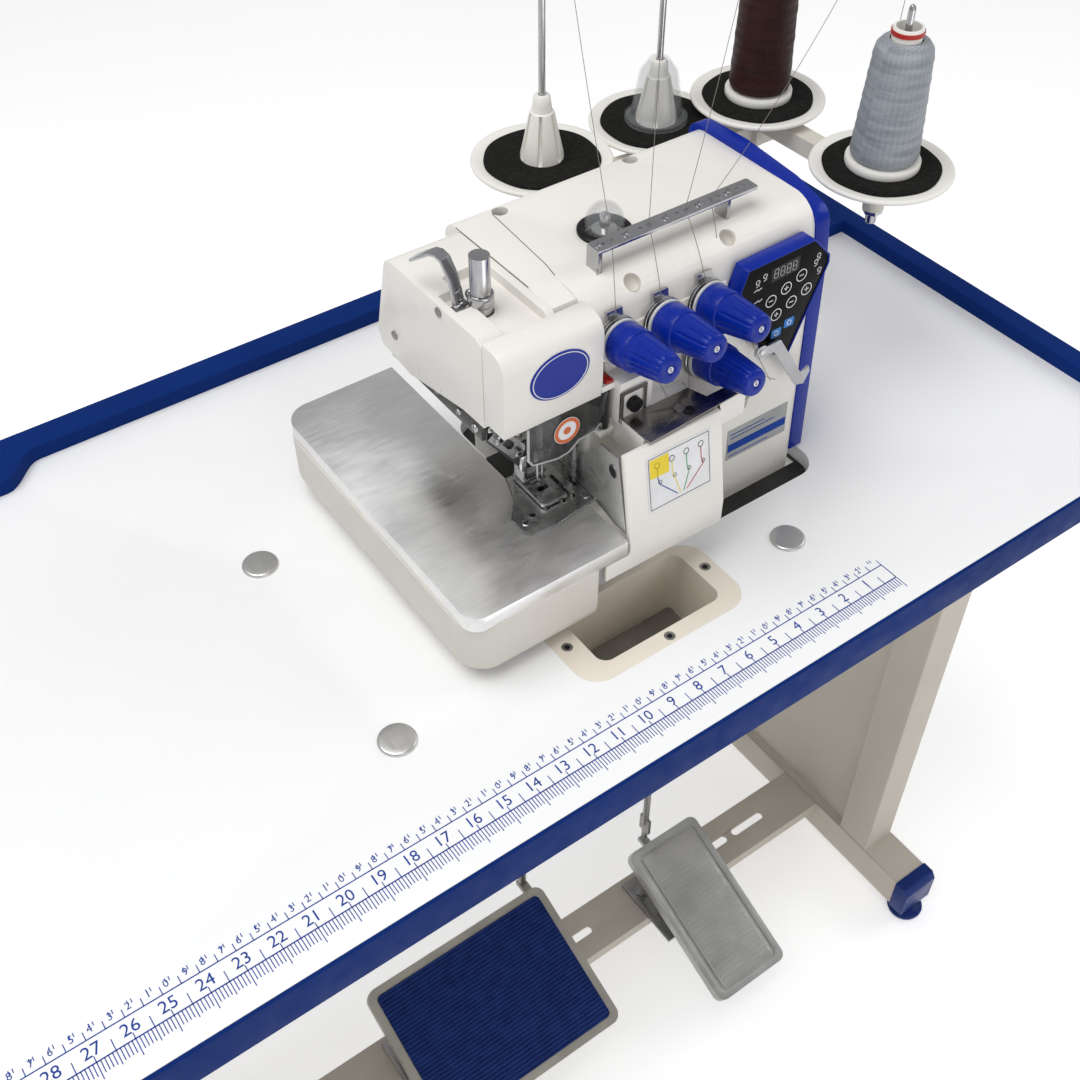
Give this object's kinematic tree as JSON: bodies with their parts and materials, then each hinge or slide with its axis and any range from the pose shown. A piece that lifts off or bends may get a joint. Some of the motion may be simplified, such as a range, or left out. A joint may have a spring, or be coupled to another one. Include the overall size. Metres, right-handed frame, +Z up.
{
  "type": "overlock sewing machine station",
  "caption": "Overlock sewing machine head set into a white table with blue edging, on a steel stand with treadle, lifting pedal and a cone thread stand.",
  "frame": {"origin": "on the floor, under the middle of the table", "axes": "+X to the sewer's right, +Y away from the sewer, +Z up"},
  "size_m": [1.2, 0.6, 1.29],
  "materials": {
    "white_laminate": "smooth satin laminate",
    "navy_edge": "satin moulded edging",
    "chrome": "polished plate",
    "cream_plastic": "fine moulded",
    "stand_paint": "powder coat",
    "blue_plastic": "moulded",
    "zinc_steel": "zinc plate",
    "pedal_alloy": "hammered paint",
    "treadle_rubber": "woven ribs",
    "dark_casting": "oiled",
    "cast_alloy": "as cast, worn",
    "cream_paint": "gloss enamel",
    "black_panel": "printed keypad",
    "blue_badge": "blank domed badge",
    "clear_plastic": "clear moulded",
    "blued_steel": "dark plate",
    "ground_steel": "ground",
    "brushed_plate": "brushed stainless",
    "black_plastic": "moulded",
    "black_foam": "open foam",
    "wound_thread": "wound sewing thread"
  },
  "bodies": {
    "station": {"table_top": "white_laminate", "edge_rim": "navy_edge", "cap_buttons": "chrome", "waste_chute": "cream_plastic", "legs": "stand_paint", "foot_caps": "blue_plastic", "levelling_feet": "blue_plastic", "cross_rail": "stand_paint", "screws": "zinc_steel", "hinge_brackets": "zinc_steel", "speed_unit": "dark_casting", "bed_casting": "dark_casting", "head_casting": "cream_paint", "end_cover": "blue_plastic", "panel_bezel": "blue_plastic", "panel_glass": "black_panel", "face_cover": "cream_paint", "front_cover": "cream_paint", "badge_plate": "blue_badge", "needle_plate": "ground_steel", "chip_guard": "blued_steel", "thread_plate": "brushed_plate", "guide_bar": "chrome", "oil_sight": "clear_plastic", "tension_discs": "chrome", "spool_frame": "stand_paint", "spool_discs": "cream_plastic", "foam_pads": "black_foam", "spool_pins": "chrome", "clear_cap": "clear_plastic", "thread_cones": "wound_thread", "guide_mast": "chrome"},
    "treadle": {"treadle_frame": "pedal_alloy", "treadle_mat": "treadle_rubber"},
    "speed_rod": {"pitman_rod": "zinc_steel"},
    "speed_arm": {"speed_lever": "zinc_steel"},
    "lift_pedal": {"lift_pedal": "cast_alloy"},
    "lift_rod": {"lift_link": "zinc_steel"},
    "lift_crank": {"lift_crank": "zinc_steel"},
    "presser": {"presser_arm": "blued_steel", "presser_foot": "ground_steel"},
    "release_lever": {"release_lever": "chrome"},
    "pressure_screw": {"pressure_screw": "chrome"},
    "needle_bar": {"needle_bar": "ground_steel"},
    "upper_looper": {"upper_looper": "ground_steel"},
    "lower_looper": {"lower_looper": "ground_steel"},
    "upper_knife": {"upper_knife": "ground_steel"},
    "feed_dogs": {"feed_dogs": "ground_steel"},
    "cloth_plate": {"cloth_plate": "brushed_plate", "cloth_shell": "cream_plastic"},
    "looper_cover": {"looper_cover": "cream_paint"},
    "eye_guard": {"eye_guard": "clear_plastic"},
    "knob_1": {"tension_knob_1": "blue_plastic"},
    "knob_2": {"tension_knob_2": "blue_plastic"},
    "knob_3": {"tension_knob_3": "blue_plastic"},
    "knob_4": {"tension_knob_4": "blue_plastic"},
    "thread_lever": {"thread_lever": "chrome"},
    "feed_button": {"feed_button": "black_plastic"},
    "main_shaft": {"main_shaft": "ground_steel", "handwheel": "blue_plastic"}
  },
  "joints": [
    {"name": "treadle_tilt", "type": "hinge", "parent": "station", "child": "treadle", "pos_m": [-0.0675, -0.13, 0.132], "axis": [-1, 0, 0], "range_deg": [-8, 12], "stiffness_Nm_per_rad": 15},
    {"name": "speed_rod_slide", "type": "slide", "parent": "station", "child": "speed_rod", "axis": [0, 0, 1], "range_m": [-0.0185, 0.0125]},
    {"name": "speed_arm_turn", "type": "hinge", "parent": "station", "child": "speed_arm", "pos_m": [0.036, 0.004, 0.684], "axis": [1, 0, 0], "range_deg": [-15, 23]},
    {"name": "lift_pedal_tilt", "type": "hinge", "parent": "station", "child": "lift_pedal", "pos_m": [0.214, -0.15, 0.104], "axis": [-1, 0, 0], "range_deg": [0, 12], "stiffness_Nm_per_rad": 6, "springref_deg": -5.73},
    {"name": "lift_rod_slide", "type": "slide", "parent": "station", "child": "lift_rod", "axis": [0, 0, 1], "range_m": [-0.018, 0]},
    {"name": "lift_crank_turn", "type": "hinge", "parent": "station", "child": "lift_crank", "pos_m": [0.196, -0.02, 0.676], "axis": [1, 0, 0], "range_deg": [0, 20]},
    {"name": "presser_lift", "type": "hinge", "parent": "station", "child": "presser", "pos_m": [0, 0.04, 0.905], "axis": [-1, 0, 0], "range_deg": [0, 3.6]},
    {"name": "release_press", "type": "hinge", "parent": "station", "child": "release_lever", "pos_m": [-0.006, -0.044, 0.9945], "axis": [-0.9511, -0.309, 0], "range_deg": [0, 20], "stiffness_Nm_per_rad": 0.3},
    {"name": "pressure_turn", "type": "hinge", "parent": "station", "child": "pressure_screw", "pos_m": [0.007, -0.052, 1], "axis": [0, 0, 1], "range_deg": [-360, 360]},
    {"name": "needle_stroke", "type": "slide", "parent": "station", "child": "needle_bar", "axis": [0, 0, 1], "range_m": [-0.012, 0.012]},
    {"name": "upper_looper_swing", "type": "hinge", "parent": "station", "child": "upper_looper", "pos_m": [0.052, -0.042, 0.764], "axis": [0, 1, 0], "range_deg": [-4.2, 4.2]},
    {"name": "lower_looper_swing", "type": "hinge", "parent": "station", "child": "lower_looper", "pos_m": [0.026, -0.047, 0.768], "axis": [0, 1, 0], "range_deg": [-4.2, 4.2]},
    {"name": "knife_stroke", "type": "slide", "parent": "station", "child": "upper_knife", "axis": [0, 0, 1], "range_m": [-0.0026, 0.0026]},
    {"name": "feed_stroke", "type": "slide", "parent": "station", "child": "feed_dogs", "axis": [0, 1, 0], "range_m": [-0.002, 0.002]},
    {"name": "cloth_plate_swing", "type": "hinge", "parent": "station", "child": "cloth_plate", "pos_m": [-0.05, 0.105, 0.79], "axis": [0, 0, 1], "range_deg": [-75, 0]},
    {"name": "looper_cover_fold", "type": "hinge", "parent": "station", "child": "looper_cover", "pos_m": [0.11, -0.161, 0.805], "axis": [1, 0, 0], "range_deg": [0, 70]},
    {"name": "eye_guard_swing", "type": "hinge", "parent": "station", "child": "eye_guard", "pos_m": [0.072, -0.113, 0.91], "axis": [0, 0, 1], "range_deg": [0, 50]},
    {"name": "tension_1_turn", "type": "hinge", "parent": "station", "child": "knob_1", "pos_m": [0.088, -0.102, 0.961], "axis": [0, -0.9848, 0.1736], "range_deg": [-360, 360]},
    {"name": "tension_2_turn", "type": "hinge", "parent": "station", "child": "knob_2", "pos_m": [0.13, -0.102, 0.96], "axis": [0, -0.9848, 0.1736], "range_deg": [-360, 360]},
    {"name": "tension_3_turn", "type": "hinge", "parent": "station", "child": "knob_3", "pos_m": [0.172, -0.102, 0.959], "axis": [0, -0.9848, 0.1736], "range_deg": [-360, 360]},
    {"name": "tension_4_turn", "type": "hinge", "parent": "station", "child": "knob_4", "pos_m": [0.1665, -0.1095, 0.917], "axis": [0, -0.9848, 0.1736], "range_deg": [-360, 360]},
    {"name": "thread_lever_swing", "type": "hinge", "parent": "station", "child": "thread_lever", "pos_m": [0.222, -0.1205, 0.9], "axis": [0, 1, 0], "range_deg": [-5, 8], "stiffness_Nm_per_rad": 0.06},
    {"name": "feed_button_press", "type": "slide", "parent": "station", "child": "feed_button", "axis": [0, 1, 0], "range_m": [0, 0.004], "stiffness_N_per_m": 400},
    {"name": "shaft_spin", "type": "hinge", "parent": "station", "child": "main_shaft", "pos_m": [0.3, -0.01, 0.822], "axis": [1, 0, 0], "continuous": true}
  ],
  "couplings": [
    {"joint": "speed_rod_slide", "follows": "treadle_tilt", "m_per_rad": -0.0865},
    {"joint": "speed_arm_turn", "follows": "treadle_tilt", "ratio": 1.8211},
    {"joint": "lift_rod_slide", "follows": "lift_pedal_tilt", "m_per_rad": -0.075},
    {"joint": "lift_crank_turn", "follows": "lift_pedal_tilt", "ratio": 1.5},
    {"joint": "presser_lift", "follows": "lift_pedal_tilt", "ratio": 0.29},
    {"joint": "upper_looper_swing", "follows": "needle_stroke", "rad_per_m": 5.8},
    {"joint": "lower_looper_swing", "follows": "needle_stroke", "rad_per_m": -5.8},
    {"joint": "knife_stroke", "follows": "needle_stroke", "ratio": 0.2},
    {"joint": "feed_stroke", "follows": "needle_stroke", "ratio": 0.15}
  ]
}
